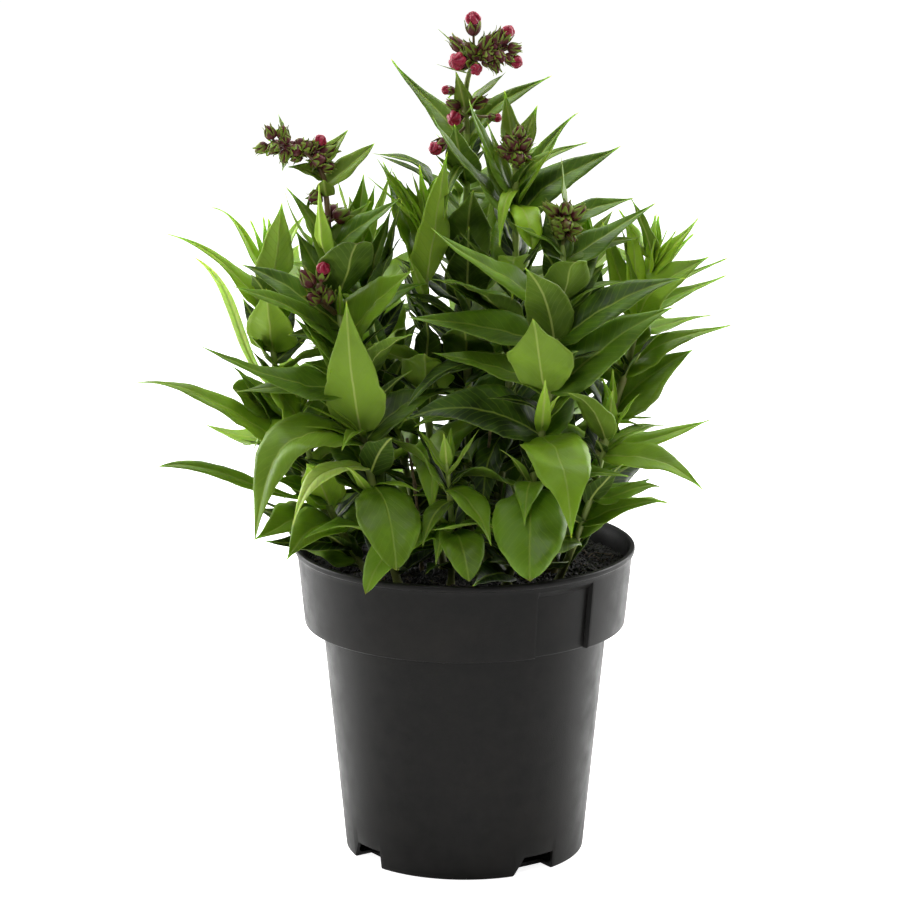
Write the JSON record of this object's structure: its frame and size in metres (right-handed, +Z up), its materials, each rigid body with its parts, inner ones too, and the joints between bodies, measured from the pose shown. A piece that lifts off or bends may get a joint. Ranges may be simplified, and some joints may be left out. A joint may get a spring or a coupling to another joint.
{
  "type": "potted beardtongue",
  "caption": "Young beardtongue in bud, leafy upright stems with narrow pointed leaves and crimson flower buds, in a round nursery pot of compost.",
  "frame": {"origin": "centre of the pot's flat underside", "axes": "+Z up along the pot's axis, -Y towards the front of the plant as pictured, +X to its right"},
  "size_m": [0.3271, 0.2412, 0.472],
  "materials": {
    "pot_plastic": "satin, black",
    "compost": "rough, dark peaty crumbs and fibres",
    "leaf": "satin green leaf with a paler midrib",
    "calyx": "matt purple brown with green tips",
    "petal": "soft crimson petal",
    "dry_stem": "dry, pale brown"
  },
  "bodies": {
    "root": {"pot": "pot_plastic", "soil": "compost", "dry_stem_1": "dry_stem", "dry_stem_2": "dry_stem", "stem_left": "leaf", "stem_right": "leaf", "stem_centre": "leaf", "stem_rose": "leaf", "stem_farRight": "leaf", "stem_farLeft": "leaf", "stem_midLeft": "leaf", "stem_inner": "leaf", "stem_lowLeft": "leaf", "stem_lowRight": "leaf", "stem_lowFront": "leaf", "stem_backLeft": "leaf", "stem_back": "leaf", "stem_backRight": "leaf", "head_centre": "calyx", "head_left": "calyx", "head_rose": "calyx", "head_right": "calyx", "head_side": "calyx", "petals_1": "petal", "petals_2": "petal", "petals_3": "petal", "petals_4": "petal", "petals_5": "petal", "petals_6": "petal", "petals_7": "petal", "petals_8": "petal", "petals_9": "petal", "petals_10": "petal", "petals_11": "petal"}
  },
  "joints": []
}
